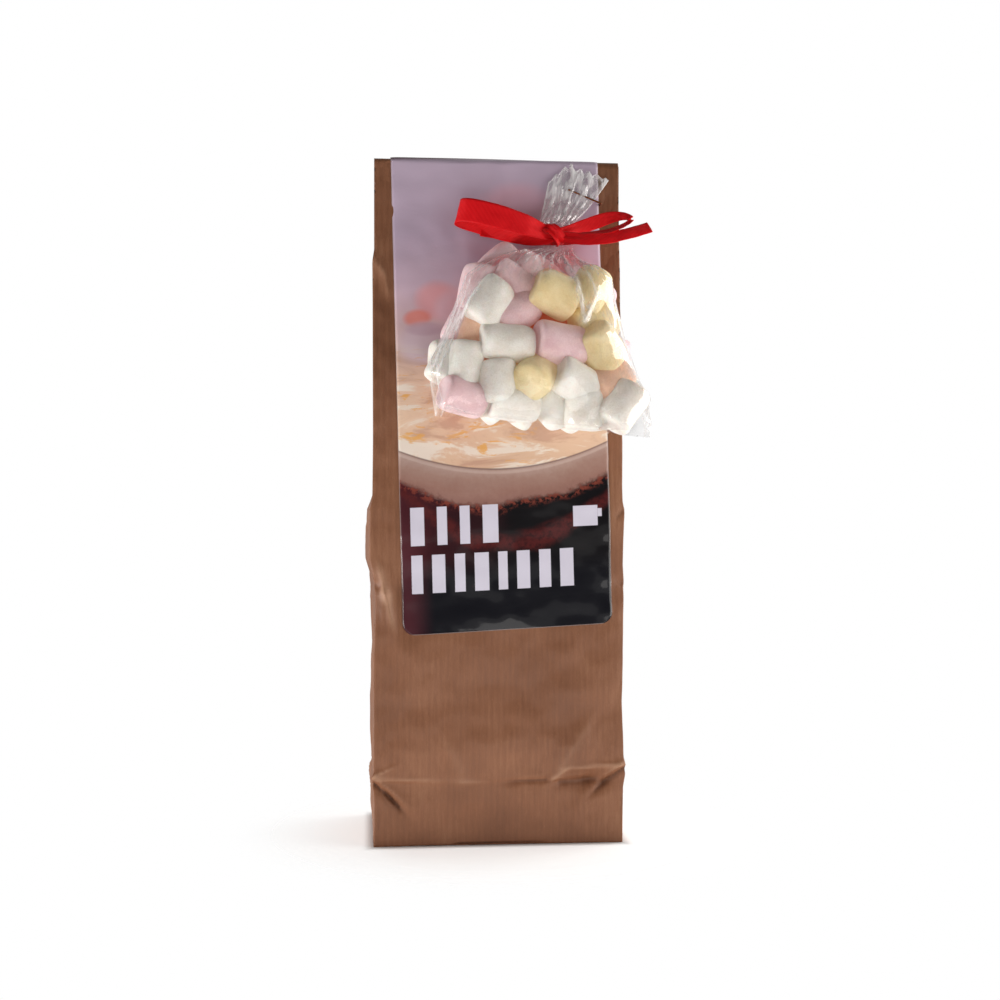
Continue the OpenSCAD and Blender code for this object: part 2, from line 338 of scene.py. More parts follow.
# creases fade from their first x, z on a panel to their second; height (negative is a valley), width
frontCreases = (
    (-40, 22, -20, 21.0, 0.7, 1.1), (-24, 21.4, -4, 20.6, 0.3, 1.2), (-40, 20.9, -22, 19.6, -0.4, 0.8),
    (16, 20.9, -3, 20.2, -0.95, 0.6), (14, 22.0, -2, 21.4, 0.5, 0.8), (-12, 20.8, 2, 20.4, 0.25, 1.0),
    (17, 21.2, 23, 25.4, 0.75, 0.7), (40, 25.4, 20, 24.6, 0.8, 0.8), (17, 21.2, 32, 22.8, 0.6, 0.7),
    (17, 21, 13.5, 18.0, 0.4, 0.6), (17, 21, 11.5, 25, -0.35, 0.7), (20, 20.0, 35, 20.6, -1.1, 1.4),
    (40, 24.5, 29, 14.5, -1.25, 0.8), (39, 26, 27.5, 16.4, 0.6, 0.8), (34, 19.5, 25, 20.5, -0.4, 1.0),
    (-40, 20.8, -29, 9.5, -1.15, 0.7), (-39.5, 22.5, -28, 12.4, 0.55, 0.8), (-36, 17, -31, 10.6, -0.6, 0.6),
    (-39.5, 23, -32, 26.6, 0.6, 0.6), (-38, 20.5, -35.5, 11, 0.3, 0.8), (-40, 84, -37.5, 82, -0.9, 0.7),
    (-38, 82.5, -35, 80, 0.5, 0.6), (-36.5, 80, -38.5, 94, 0.8, 1.8), (-36.5, 81, -33, 66, 0.8, 1.3),
    (-40, 189, -35.5, 183, 0.5, 1.0), (-36.5, 184.5, -35, 176, 0.35, 1.1), (40, 108, 37, 104, -0.6, 0.9),
    (40, 83, 37.5, 85.5, -0.6, 0.8), (20, 25, 33, 46, 0.4, 3.2), (-12, 24, -20, 40, 0.35, 3.6),
    (6, 24, 14, 40, -0.3, 3.4),
)
# dents: middle x, z, half sizes across and up, height
frontDents = (
    (31, 20.5, 8, 3.2, -0.9), (-34, 17, 5, 3.5, -0.35), (2, 52, 16, 9, -0.8), (-22, 60, 12, 9, 0.6),
    (27, 55, 11, 9, 0.7), (28, 40, 10, 6, -0.6), (-24, 38, 13, 7, 0.5), (4, 32, 15, 5, 0.7),
    (-37, 74, 3.2, 9, 0.7), (37.5, 64, 3, 12, 0.4),
)
sideCreases = (  # from y, z to y, z: the gusset's middle fold and the block bottom's folds
    (0, 24, 0, 108, -1.1, 0.7), (0, 24, -25, 0.5, 0.55, 1.3), (0, 24, 25, 0.5, 0.55, 1.3),
    (-25, 23.5, 25, 24, -0.6, 0.8), (-24, 82, -10, 76, -0.45, 1.0), (-10, 76, -3, 88, 0.3, 1.2),
    (22, 90, 8, 80, -0.45, 1.0), (8, 80, 2, 92, 0.3, 1.0), (-25, 108, 0, 92, 0.5, 1.6),
    (25, 108, 0, 92, 0.5, 1.6),
)
backCreases = (  # the first is the glued seam
    (11.5, 0, 11.5, 300, -0.5, 0.5), (-40, 24.5, -18, 23, 0.5, 1.0),
    (-18, 23, 12, 23.8, -0.55, 0.8), (12, 23.8, 40, 22.5, 0.5, 1.0),
    (-40, 23, -31, 13, -0.8, 0.8), (40, 22, 30, 12.5, -0.8, 0.8), (-20, 108, 24, 112, -0.4, 2.0),
    (-40, 92, -30, 84, -0.5, 1.0), (40, 96, 33, 82, 0.5, 1.4), (18, 60, 32, 78, 0.3, 3.0),
)
backDents = ((-10, 60, 18, 16, 0.6), (20, 88, 12, 10, -0.4), (-26, 92, 9, 9, 0.4), (14, 38, 14, 8, -0.4))


def depthAt(z):
    return mix(bag["depth"], bag["topThickness"], ease((z - bag["fill"]) / (pressZ - bag["fill"])))


def frontAt(z):
    return bag["lean"] * ease((z - bag["fill"]) / (foldZ - bag["fill"])) - halfDepth


def swellAt(z):
    return math.sin(math.pi * z / pressZ) if z < pressZ else 0.0


def crownAt(x, z):
    return (0.3 * clamp((pressZ - z) / 20) + bag["swell"] * swellAt(z)) * (1 - (x / halfWidth) ** 2)


def pinchAt(z):
    return math.sqrt(max(0.0, halfDepth ** 2 - (depthAt(z) / 2) ** 2)) * bag["pinch"]


def creased(a, z, creases):
    total = 0.0
    for a1, z1, a2, z2, height, width in creases:
        da, dz = a2 - a1, z2 - z1
        t = clamp(((a - a1) * da + (z - z1) * dz) / (da * da + dz * dz))
        away = math.hypot(a - a1 - t * da, z - z1 - t * dz)
        if away < width * 5:  # past that nothing of the ridge is left
            total += height * (math.exp(-away / width) - 0.0067) * (1 - 0.75 * ease((t - 0.5) / 0.5))
    return total


def dented(a, z, dents):
    total = 0.0
    for middle, up, wide, tall, height in dents:
        total += height * math.exp(-((a - middle) / wide) ** 2 - ((z - up) / tall) ** 2)
    return total


def frontRelief(x, z):
    low = 0.9 * ease(z / 22) * ease((90 - z) / 50)
    step = 0.6 * ease((z - 20) / 4) * ease((70 - z) / 40)
    still = 1 - 0.8 * ease((35.5 - abs(x)) / 4) * ease((z - 66) / 5)
    broad = rough(x, 0, z, 26) * 0.9 * mix(1, still, 0.6)
    wave = (broad + rough(x + 90, 3, z, 9) * 0.28 * still) * ease(z / 9)
    top = 0.5 * bell(x + 9.5, 3.5) * ease((z - 170) / 45) + 0.4 * bell(x - 2, 3.0) * ease((z - 180) / 35)
    return low + step + wave + top + 1.5 * creased(x, z, frontCreases) + 1.4 * dented(x, z, frontDents)


def backRelief(x, z):
    fade = ease(z / 9) * (1 - ease((z - 168) / 18))
    wave = (rough(x, 40, z, 28) * 1.1 + rough(x, 47, z, 10) * 0.35) * fade
    seam = 0.35 * ease((x - 11.6) / 0.5) * (1 - ease((x - 24) / 9)) * ease(z / 3)
    marks = (creased(x, z, backCreases) + dented(x, z, backDents) + 0.8 * ease(z / 24)) * fade
    return wave + marks + seam


edgeOut = {  # how far each front edge stands out, up the bag
    -1: ((0, 0.2), (14, 0.0), (20, 0.5), (22, 1.2), (24, 0.3), (30, 0.2), (60, 0.3), (78, -0.4), (85, 0.0),
         (92, 1.6), (105, 1.3), (112, 0.6), (130, 0.4), (175, 0.5), (188, 0.6), (192, 0.0), (230, 0.0)),
    1: ((0, 0.2), (18, 0.3), (23, 1.2), (25, 1.0), (28, 0.3), (46, -0.2), (70, 0.3), (84, 0.8), (90, 0.3),
        (106, 0.6), (110, 0.1), (150, 0.3), (190, 0.2), (230, 0.0)),
}


def sideRelief(side, y, z):
    fade = ease(z / 9) * (1 - ease((z - 150) / 35))
    wave = (rough(y, 80 * side, z, 26) * 0.8 + rough(y, 87 * side, z, 9) * 0.15) * fade * (1 - (y / 25) ** 2)
    edge = between(z, edgeOut[side]) * clamp(-y / 12)
    return wave + creased(y * side, z, sideCreases) * fade + edge


def frontY(x, z):
    return frontAt(z) - crownAt(x, z) - frontRelief(x, z)


def panelAt(around):  # the panel's number and the distance from its middle
    number = 0
    while around > corners[number]:
        number += 1
    return number, around - middles[number]


def bagPoint(around, row):
    (outerY, outerZ), (innerY, innerZ), z = row
    number, past = panelAt(around)
    back, front = (-past, 1.0), (past, -1.0)
    left, right = (-halfWidth, -past / halfDepth), (halfWidth, past / halfDepth)
    x, v = (back, left, front, right, back)[number]
    share = (v + 1) / 2
    y = mix(outerY - crownAt(x, z), innerY + crownAt(x, z), share)
    up = mix(outerZ, innerZ, share)
    pressed = ease((outerZ - pressZ) / 8) if z < foldZ else 1.0
    across = x / halfWidth
    fall = mix(1, 9, ease((z - 150) / 30))  # the gusset's plies keep clear of the front's relief
    y -= frontRelief(x, z) * (1 - share) ** fall * (1 if z < foldZ else 0)
    y += backRelief(x, z) * share * (1 - pressed)
    side = 1 if across > 0 else -1
    out = (0.3 + bag["sideSwell"] * swellAt(min(z, bag["fill"]))) * clamp((pressZ - z) / 40) * (1 - v * v)
    out -= pinchAt(min(z, pressZ)) * (1 - abs(v))
    flatY = v * halfDepth
    out += sideRelief(side, flatY, z) if z < foldZ else 0
    if up < 0.5:  # the base's front edge bows up a little
        up += 0.55 * (1 - across ** 2) ** 1.5 * (1 - share) ** 6
    return Vector((x + side * abs(across) ** 8 * out, y, up))


def creaseHighlightAndShadeAt(around, row):  # painted highlight along the creases' ridges and, negative, painted shade in their valleys
    z = row[2]
    if row[0][1] > foldZ - 0.5:
        return 0.0
    number, past = panelAt(around)
    creases = (backCreases, sideCreases, frontCreases, sideCreases, backCreases)[number]
    return creased(past if number in (2, 3) else -past, z, creases)


def spaced(start, end, count):  # places from start to end, closer together near both ends
    places = []
    for k in range(count):
        t = k / count
        places.append(mix(start, end, t - 0.5 * math.sin(2 * math.pi * t) / (2 * math.pi)))
    return places


def bagRows():
    rows = []
    heights = [0, 0.35, 0.8] + [1.5 + 0.8 * k for k in range(42)]
    while heights[-1] < foldZ - 1.3:
        heights.append(heights[-1] + 1.15)
    for z in heights + [foldZ - 0.01]:
        rows.append(((frontAt(z), z), (frontAt(z) + depthAt(z), z), z))
    for k in range(1, 13):
        a = math.pi * k / 12
        outer = (foldY - foldOuter * math.cos(a), foldZ + foldOuter * math.sin(a))
        inner = (foldY - bag["foldRadius"] * math.cos(a), foldZ + bag["foldRadius"] * math.sin(a))
        rows.append((outer, inner, foldZ))
    for k in range(1, 23):
        z = foldZ - bag["flap"] * k / 22
        flare = 0.5 * (k / 22) ** 2
        rows.append(((foldY + foldOuter + flare, z), (foldY + bag["foldRadius"] + flare * 0.4, z), foldZ))
    return rows


def makeKraft():
    paint = Paint("kraftPaper")
    place = paint.layout()
    ribs = paint.axes(place)[0].waves(bag["ribPitch"])
    fine = paint.drawn(place, (6.0, 1.2, 1.0), 4.0, 0.6)
    fibre = paint.drawn(place, (1.4, 0.16, 1.0), 5.0, 0.7, 0.6)
    blotch = paint.drawn(place, (0.05, 0.03, 1.0), 3.0)
    fleck = paint.grain(place, 2.4, 2.0, 0.5).step(0.68, 0.74)
    patchy = paint.drawn(place, (0.35, 0.08, 1.0), 3.0)
    tone = ribs * patchy * 0.075 + 0.45 + (fibre - 0.5) * 0.5 + (blotch - 0.5) * 0.9 + (fine - 0.5) * 0.3
    colour = paint.ramp(tone, [
        (0.0, linear(103, 64, 43)), (0.5, linear(133, 88, 62)), (1.0, linear(162, 117, 88))])
    colour = paint.blend(fleck * 0.3, colour, linear(178, 138, 110))
    wear = paint.add("ShaderNodeAttribute", {"attribute_name": "wear"}, {}, "Fac")
    # painted highlight on the crease ridges, then painted shade in the crease valleys
    colour = paint.blend(wear.step(0.1, 0.9) * (0.3 + fine * 0.4), colour, linear(186, 146, 118))
    colour = paint.blend((0 - wear).step(0.1, 0.9) * 0.5, colour, linear(84, 50, 33))
    relief = ribs * 0.25 + (fine - 0.5) * 0.8 + (fibre - 0.5) * 0.7
    shine = 0.52 + (blotch - 0.5) * 0.2 + ribs * 0.03
    return paint.finish(
        Base_Color=colour, Roughness=shine, Specular_IOR_Level=0.3, Normal=paint.bump(relief, 0.5, 0.00012))


def makeBag():
    columns = []
    for start, end, count in zip((0,) + corners, corners, panelColumns):
        columns += spaced(start, end, count)
    columns.append(girth)
    rows = bagRows()
    lengths = [0.0]
    for (before, _, _), (after, _, _) in zip(rows, rows[1:]):
        lengths.append(lengths[-1] + math.dist(before, after))
    wide, tall = len(columns) - 1, len(rows) - 1
    bm = bmesh.new()
    grid(bm, wide, tall)
    layout = bm.loops.layers.uv.new("layout")
    for face in bm.faces:
        for loop in face.loops:
            i, j = gridSpot(loop.vert, wide, tall)
            loop[layout].uv = (columns[i], lengths[j])
    # a layer for the painted highlight and shade along the creases
    wear = bm.verts.layers.float.new("wear")
    for vert in bm.verts:
        i, j = gridSpot(vert, wide, tall)
        vert.co = bagPoint(columns[i], rows[j])
        vert.co.z = max(vert.co.z, 0)
        vert[wear] = creaseHighlightAndShadeAt(columns[i], rows[j])
    bmesh.ops.remove_doubles(bm, verts=bm.verts, dist=0.0005)
    ends = [edge for edge in bm.edges if edge.is_boundary]
    bottom = [edge for edge in ends if edge.verts[0].co.z < 1 and edge.verts[1].co.z < 1]
    mouth = [edge for edge in ends if edge not in bottom]
    for rim in (bottom, mouth):
        made = bmesh.ops.contextual_create(bm, geom=rim)
        for face in made["faces"]:
            for loop in face.loops:
                loop[layout].uv = (loop.vert.co.x, loop.vert.co.y)
    bmesh.ops.recalc_face_normals(bm, faces=bm.faces)
    makePiece(bm, "kraftBag", makeKraft(), "bag")


# the label lies over the bag's surface: s runs down the front from the fold, negative behind

label = dict(
    width=67.8, front=153.7, back=46.0, corner=4.0, thickness=0.1, turn=1.4, slope=1.6, shift=-0.8,
    lift=0.3, liftBehind=0.25, rimDrop=0.15, rimWidth=1.2, columns=72, step=1.1, fineStep=0.35,
    darkFrom=(1.24, -0.36), barStart=-30.6, barTall=12.2,
)


def backY(x, z):
    flapY = foldY + foldOuter + 0.5 * clamp((foldZ - z) / bag["flap"]) ** 2
    panel = frontAt(z) + depthAt(z) + crownAt(x, z) + backRelief(x, z)
    return mix(panel, max(flapY, panel), clamp((z - foldZ + bag["flap"] + 5.2) / 4))


def overBag(x, s, lift):
    if s > foldQuarter:
        z = foldZ + foldQuarter - s
        return Vector((x, frontY(x, z) - lift, z))
    if s < -foldQuarter:
        z = foldZ + foldQuarter + s
        return Vector((x, backY(x, z) + lift, z))
    a = math.pi / 2 * (1 - s / foldQuarter)
    reach = foldOuter + lift
    y = foldY - reach * math.cos(a)
    y -= (crownAt(x, foldZ) + frontRelief(x, foldZ)) * clamp(s / foldQuarter) ** 2
    return Vector((x, y, foldZ + reach * math.sin(a)))


def labelHalf(inset):
    r = label["corner"]
    return label["width"] / 2 - r + math.sqrt(max(0.0, r * r - max(0.0, r - inset) ** 2))


def makeLabel():
    total = label["front"] + label["back"]
    turn, slope = math.radians(label["turn"]), math.radians(label["slope"])
    corner = [0, 0.1, 0.3, 0.6, 1.0, 1.5, 2.2, 3.0, 4.0]
    stations = corner[:]
    while stations[-1] < total - 5:
        atFold = abs(label["front"] - stations[-1]) < 5
        stations.append(stations[-1] + label["fineStep" if atFold else "step"])
    stations += [total - k for k in reversed(corner)]
    wide, tall = label["columns"], len(stations) - 1
    bm = bmesh.new()
    grid(bm, wide, tall)
    layout = bm.loops.layers.uv.new("layout")
    place = {}
    for vert in bm.verts:
        station = stations[gridSpot(vert, wide, tall)[1]]
        half = labelHalf(min(station, total - station))
        place[vert] = (vert.co.x * 2 * half, label["front"] - station)
    for face in bm.faces:
        for loop in face.loops:
            loop[layout].uv = place[loop.vert]
    for vert, (a, s) in place.items():
        s -= a * math.tan(slope) * clamp(s / label["front"])
        x = a * math.cos(turn) + s * math.sin(turn) + label["shift"]
        rim = min(label["width"] / 2 - abs(a), s + label["back"], label["front"] - s)
        lift = label["lift"] - label["rimDrop"] * math.exp(-max(rim, 0) / label["rimWidth"])
        lift += label["liftBehind"] if s < 0 else 0
        vert.co = overBag(x, s * math.cos(turn) - a * math.sin(turn), lift)
    addWall(bm, label["thickness"])
    makePiece(bm, "packLabel", makePrint(), "label")


def makePrint():
    paint = Paint("labelPrint")
    place = paint.layout()
    a, s, _ = paint.axes(place)
    cloud = paint.drawn(place, (0.045, 0.07, 1), 3.0, 0.5, 0.6)
    grit = paint.grain(place, 0.6, 4.0, 0.65)
    wisp = paint.drawn(place, (0.035, 0.1, 1), 6.0, 0.62, 1.1)

    def blob(x, down, wide, tall, edge=0.5):
        reach = ((a - x) / wide) ** 2.0 + ((s - down) / tall) ** 2.0 + (cloud - 0.5) * edge
        return 1 - reach.step(0.3, 1.2)

    def ink(tint, gain=1.4):
        return [min(0.86, part * gain) for part in linear(*tint)[:3]] + [1]

    def tinted(colour, x, down, wide, tall, tint, share):
        return paint.blend(blob(x, down + 4, wide, tall) * share, colour, ink(tint))

    stops = [(0.0, (165, 149, 166)), (0.14, (170, 152, 170)), (0.24, (194, 171, 187)),
             (0.31, (201, 173, 181)), (0.37, (205, 175, 168)), (0.44, (212, 181, 162)),
             (0.52, (213, 184, 160)), (0.62, (208, 176, 150)), (0.66, (200, 166, 142))]
    down = (s - 4) / 151 + (cloud - 0.5) * 0.08  # share of the way down the picture
    colour = paint.ramp(down, [(p, ink(c, mix(1.36, 1.06, p))) for p, c in stops])
    for spot in ((7, 14, 14, 10, (182, 146, 160), 0.75), (20, 20, 9, 12, (186, 150, 160), 0.6),
                 (-20, 43, 8, 7, (204, 146, 150), 0.85), (-26.5, 48.5, 5, 3.2, (208, 118, 104), 0.8),
                 (-13, 46, 9, 8, (196, 166, 176), 0.8), (-23, 57, 11, 8, (196, 176, 186), 0.85),
                 (-24, 52, 7, 2.5, (176, 146, 160), 0.6), (-5, 38, 9, 6, (188, 160, 172), 0.6),
                 (24, 40, 12, 12, (190, 162, 166), 0.7)):
        colour = tinted(colour, *spot)
    warm = s.step(58, 74)
    colour = paint.blend(wisp.step(0.5, 0.58) * warm * 0.85, colour, ink((232, 220, 208), 1.08))
    colour = paint.blend((1 - wisp.step(0.36, 0.48)) * warm * 0.6, colour, ink((198, 152, 132), 0.92))
    gold = paint.drawn(place, (0.07, 0.24, 1), 5.0, 0.7, 1.4).step(0.56, 0.64)
    spread = paint.grain(place, 0.04, 1.0).step(0.42, 0.55)
    colour = paint.blend(gold * spread * warm * 0.8, colour, ink((226, 166, 80), 1.05))

    rim = s - (102.1 - 0.0064 * (a + 0.7) ** 2.0)  # the glass's rim, a shallow arc
    foam = paint.ramp((rim / 13 + (cloud - 0.5) * 0.5 + (grit - 0.5) * 0.3), [
        (0.0, ink((184, 158, 148), 0.95)), (0.3, ink((170, 136, 124), 0.9)),
        (0.6, ink((160, 120, 108), 0.88)), (1.0, ink((138, 96, 88), 0.9))])
    colour = paint.blend(rim.step(-0.25, 0.25), colour, foam)
    colour = paint.blend((1 - abs(rim).step(0.1, 0.42)) * 0.7, colour, linear(112, 86, 84))
    colour = paint.blend((1 - abs(rim - 1.1).step(0.2, 0.7)) * 0.4, colour, linear(206, 184, 174))
    wavy = (grit - 0.5) * 3.5 + (cloud - 0.5) * 7
    drink = s - (113.3 - 0.0086 * (a + 0.7) ** 2.0) + wavy
    swirl = abs(s - (126 - 0.015 * (a - 2) ** 2.0) + (cloud - 0.5) * 9)
    cocoa = paint.ramp((a + 34) / 40 + (cloud - 0.5) * 0.6, [
        (0.0, linear(66, 22, 30)), (0.45, linear(44, 14, 20)), (0.9, linear(14, 7, 11)),
        (1.0, linear(10, 7, 11))])
    streaky = (1 - swirl.step(0.8, 4.0)) * (0.3 + 0.6 * grit.step(0.3, 0.6))
    cocoa = paint.blend(streaky, cocoa, linear(84, 28, 28))
    cocoa = paint.blend(s.step(128, 138), cocoa, linear(11, 11, 19))
    crumb = 1 - abs(drink - 1.2).step(0.3, 2.6)
    cocoa = paint.blend(crumb * grit.step(0.44, 0.6) * 0.75, cocoa, linear(140, 66, 52))
    left = (1 - (a + 33).step(0, 10)) * s.step(106, 130)
    cocoa = paint.blend(left * 0.8, cocoa, linear(84, 38, 46))
    colour = paint.blend(drink.step(-1.0, 1.2), colour, cocoa)

    def bar(x, deep, wide, tall):
        across = abs(a - x).step(wide / 2 + 0.1, wide / 2 - 0.1)
        return across * abs(s - deep).step(tall / 2 + 0.1, tall / 2 - 0.1)

    marks = bar(25.8, 118.3, 8.0, 6.6).most(bar(30.5, 117.4, 1.4, 2.6))
    rows = ((119.4, 4.1, (4.4, 3.2, 3.2, 5.0)), (134.6, 3.0, (3.6, 4.2, 3.4, 4.6, 3.0, 4.2, 3.8, 4.4)))
    for deep, gap, widths in rows:
        x = label["barStart"]
        for wide in widths:
            marks = marks.most(bar(x + wide / 2, deep, wide, label["barTall"]))
            x += wide + gap
    colour = paint.blend(marks, colour, ink((200, 196, 210), 1.15))

    half = label["width"] / 2
    back = paint.ramp(cloud, [(0.2, linear(66, 24, 34)), (0.8, linear(88, 38, 46))])
    colour = paint.blend(s.step(*label["darkFrom"]), colour, back)
    end = label["front"]
    trim = abs(a).step(half - 0.3, half - 0.15).most(s.step(end - 0.3, end - 0.15))
    colour = paint.blend(trim * 0.7, colour, linear(150, 130, 124))
    relief = paint.drawn(place, (0.07, 0.16, 1), 3.0, 0.5, 0.5)
    fine = paint.grain(place, 1.1, 2.0, 0.5)
    return paint.finish(
        Base_Color=colour, Roughness=0.4, Specular_IOR_Level=0.12, Coat_Weight=0.5, Coat_Roughness=0.08,
        Normal=paint.bump(relief + fine * 0.02, 0.2, 0.0006))


# the little bag: its outline, its neck and its tail

neck = dict(x=18.6, z=bag["height"] - 30, half=5.4, thick=2.3, ribbon=8.6, stand=0.9)
film = dict(
    columns=130, bodyRows=104, neckRows=10, tailRows=34, pleats=8, bottom=134.2, middle=13, slope=0.097,
    gap=0.3, depth=25.6, stand=0.6, rounds=700, pull=1.85,
)
# level up the little bag -> x of its left and right edge
filmLeft = ((134.2, -20.8), (141, -22.0), (147.5, -22.9), (152, -22.9), (158, -20.2), (166, -16.9),
            (175, -13.9), (181, -11.8), (184.5, -7), (188.3, -0.5), (190.4, 6), (192, 13.2))
filmRight = ((134.2, 48.2), (139, 48.4), (151, 44.0), (163, 39.4), (171, 37.6), (175, 36.8), (178.5, 35.6),
             (182.2, 31.8), (187.2, 26.6), (192, 24.2))
tailLeft, tailRight = 16.6, 36.6
tailTop = ((-1, 214.6), (-0.5, 218.6), (-0.25, 220.3), (0, 218.4), (0.55, 217.2), (1, 215.6))
paintedGlare = (  # broad soft patches of painted glare: from x, z to x, z, share, width
    (-9, 180, -13, 169, 0.3, 2.6), (-13, 169, -17, 158, 0.15, 2.0), (37, 176, 44, 146, 0.5, 2.6),
    (32, 168, 43, 140, 0.45, 5.5), (14, 188, 22, 187, 0.2, 2.4), (-19, 152, -19, 143, 0.12, 2.0),
)
tailFolds = {  # across (-10 to 10) and up (0 to 18) the tail
    -1: ((-5, 0, -9, 18, 0.7, 1.1), (-1.5, 0, -4.5, 18, 0.6, 0.8), (1, 0, 0, 18, 0.9, 1.3),
         (4, 0, 4.5, 18, 0.6, 0.7), (6, 0, 8.5, 18, 0.7, 1.0), (-7, 14, 0, 9, 0.5, 0.8),
         (3, 15, 8, 6, 0.5, 0.7)),
    1: ((-3, 0, -7, 18, -0.7, 1.0), (1.5, 0, 2.5, 18, -0.7, 0.8), (5.5, 0, 7.0, 18, -0.5, 1.0)),
}
filmFolds = (  # across and up the front sheet: from x, z to x, z, height, width
    (19.5, 189, 22.3, 179.5, 1.0, 0.8), (22.3, 179.5, 24.4, 166.4, 1.5, 0.7),
    (24.4, 166.4, 28.5, 175, 1.3, 0.8), (28.5, 175, 24, 187, 0.7, 0.9), (14.5, 189, 6, 176, 0.4, 0.9),
    (12, 188.5, -4, 180, 0.35, 0.9), (22, 189, 33, 177, 0.5, 0.9), (16.5, 189, 12.5, 178, 0.5, 0.7),
    (-21.8, 152, -12.6, 176, 1.0, 0.45), (-20.8, 150, -8.5, 178, 0.8, 0.45), (-18.5, 160, -4, 184, 0.6, 0.5),
    (-20, 140, -8, 136.4, 0.5, 0.6), (40, 176, 46, 150, 0.6, 0.9), (38, 160, 45, 138, 0.5, 0.8),
)


def seamDrop(x):  # the seam falls to the right
    return (film["middle"] - x) * film["slope"]


def neckY():
    return labelFace(neck["z"]) - neck["stand"] - neck["thick"]


def labelFace(z):
    return frontAt(z) - crownAt(0, z) - label["lift"] - label["thickness"] - film["stand"]


# marshmallows: a subdivided cube drawn into a soft-edged cylinder, squashed and bent a little

sweets = dict(
    edge=8.0, seed=11, rounds=120, far=19, core=0.85, squash=0.95, slide=0.25, shove=0.09, fit=0.92)
sweetTints = {  # the dark and light of the powder, and the colour of a painted glow for the light that comes through
    "white": ((222, 215, 204), (247, 245, 239), (255, 240, 226)),
    "pink": ((220, 184, 190), (242, 216, 219), (255, 176, 172)),
    "peach": ((224, 180, 152), (244, 211, 187), (255, 150, 110)),
    # the next kind is pink marshmallows at the back, coloured deep and warm as painted shade in the gaps
    "coral": ((226, 128, 92), (238, 160, 124), (255, 120, 80)),
    "yellow": ((228, 205, 150), (248, 232, 190), (255, 216, 140)),
}
# kind, x, z, depth (0 at the front film, 1 against the label), tilt in the view, turn, length, thickness
sweetPlaces = (
    ("pink", 0, 185, 0.75, 42, 15, 14.5, 12), ("pink", 10.8, 182, 0.45, -28, 15, 15.5, 12.3),
    ("pink", -10.5, 177, 0.6, 75, 10, 15, 12.5), ("pink", 3.5, 178.5, 0.2, -32, 10, 15, 12.2),
    ("white", -4, 172, 0.12, 58, 12, 15.6, 12), ("pink", 3.6, 169.5, 0.25, 34, 15, 15, 12.2),
    ("yellow", 16, 175, 0.05, -22, 10, 15, 14), ("yellow", 27, 176.5, 0.45, 60, 30, 14, 12.5),
    ("yellow", 28.5, 167, 0.8, 15, 20, 15, 12.5), ("pink", -10.8, 165.5, 0.9, 60, 20, 14, 12),
    ("white", 0.5, 159.8, 0.0, -4, 8, 17.2, 12.2), ("pink", 18, 159.6, 0.0, -6, 14, 16, 13.2),
    ("yellow", 30, 158.5, 0.35, -50, 35, 14.5, 13), ("yellow", 9.5, 161.5, 1.0, 20, 20, 15, 12.5),
    ("peach", -8.6, 162, 0.6, 70, 20, 14, 11.8), ("white", -18.2, 153.5, 0.6, 60, 30, 13.5, 12),
    ("white", -12.2, 152.8, 0.2, 80, 12, 15, 11), ("white", -2, 147.3, 0.05, 88, 6, 13.8, 12.2),
    ("yellow", 10, 148.8, 0.3, 20, 60, 14, 12.8), ("white", 22.2, 147.6, 0.1, -25, 20, 14, 12.4),
    ("peach", 33.4, 148, 0.6, 30, 30, 14.5, 12.4), ("pink", -12.6, 142.6, 0.1, -15, 20, 14.4, 12),
    ("white", 3, 139.4, 0.5, -4, 10, 16, 11), ("white", 14.8, 139.2, 0.65, -40, 30, 13, 11.2),
    ("white", 25, 138.2, 0.3, 86, 12, 13, 12.2), ("white", 36.8, 139.8, 0.05, 55, 18, 14.6, 12.8),
    # the deep, warm ones at the back are pink marshmallows coloured as painted shade in the gaps
    ("coral", -5, 173, 1.0, 15, 30, 14.5, 12.4), ("coral", 9.5, 171, 1.0, 70, 20, 14.5, 12.4),
    ("coral", 20, 167, 1.0, -35, 15, 15, 12.6), ("pink", 33, 171, 1.0, 60, 20, 14, 12),
    ("coral", 0, 163, 1.0, 50, 25, 14.5, 12.4), ("white", -13, 158, 1.0, 10, 20, 14, 12),
    ("coral", 14, 154, 1.0, -60, 20, 14.5, 12.4), ("white", 26, 153, 1.0, 25, 10, 14.5, 12.6),
    ("pink", 36.5, 156, 0.9, 70, 20, 13.5, 12), ("coral", 1, 151, 1.0, -30, 10, 14.5, 12.4),
    ("coral", -6, 148, 1.0, 60, 10, 14, 12), ("white", 14, 145, 1.0, 5, 10, 15, 12),
    ("white", 38, 147, 0.9, -60, 10, 13, 12), ("white", -4, 140.5, 1.0, -50, 10, 14, 11.6),
    ("white", 31, 139, 0.9, 5, 10, 14, 11.8), ("white", 9, 139.5, 1.0, 60, 10, 13, 11),
    ("white", 20, 139, 1.0, -30, 20, 13, 11.4),
)


def endOf(sweet, way):  # the middle of the ball that fills one end
    return sweet["at"] + sweet["axis"] * way * (sweet["length"] - sweet["thick"] * sweets["core"]) / 2


